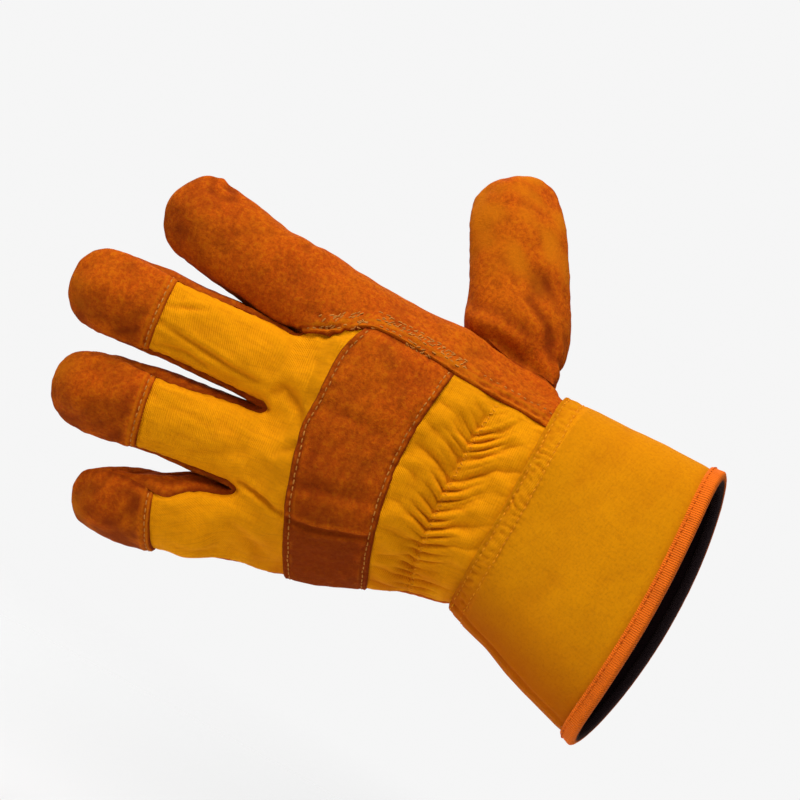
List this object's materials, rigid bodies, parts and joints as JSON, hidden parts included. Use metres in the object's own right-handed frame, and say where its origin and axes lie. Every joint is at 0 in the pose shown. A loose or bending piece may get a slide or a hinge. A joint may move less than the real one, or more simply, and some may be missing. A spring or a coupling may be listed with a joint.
{
  "type": "rigger work glove",
  "caption": "Left-hand rigger glove in its worn shape: suede palm, thumb, fingertips and knuckle strap, cotton back gathered at the wrist, flared safety cuff.",
  "frame": {"origin": "centre of the cuff's mouth, where the hand goes in", "axes": "-X along the hand to the fingertips, +X out of the cuff's mouth, -Y the side of the back of the hand, +Z the side of the thumb"},
  "size_m": [0.2691, 0.0881, 0.2139],
  "materials": {
    "suede": "napped suede, dry and matt",
    "drill": "cotton drill, fine twill, matt",
    "canvas": "stiffened cotton canvas, matt with a slight sheen",
    "lining": "dark cotton, matt",
    "thread": "twisted sewing thread, pale tan, used by the visual model's stitches",
    "tape": "woven binding tape, matt"
  },
  "bodies": {
    "root": {"palm_leather": "suede", "middle_ring_front": "suede", "palm_patch": "suede", "knuckle_strap": "suede", "thumb_back": "suede", "thumb_front": "suede", "middle_cap": "suede", "ring_cap": "suede", "little_cap": "suede", "fourchette_index_middle": "suede", "fourchette_middle_ring": "suede", "fourchette_ring_little": "suede", "back_cloth": "drill", "cuff": "canvas", "cuff_lining": "lining", "cuff_binding": "tape"}
  },
  "joints": []
}
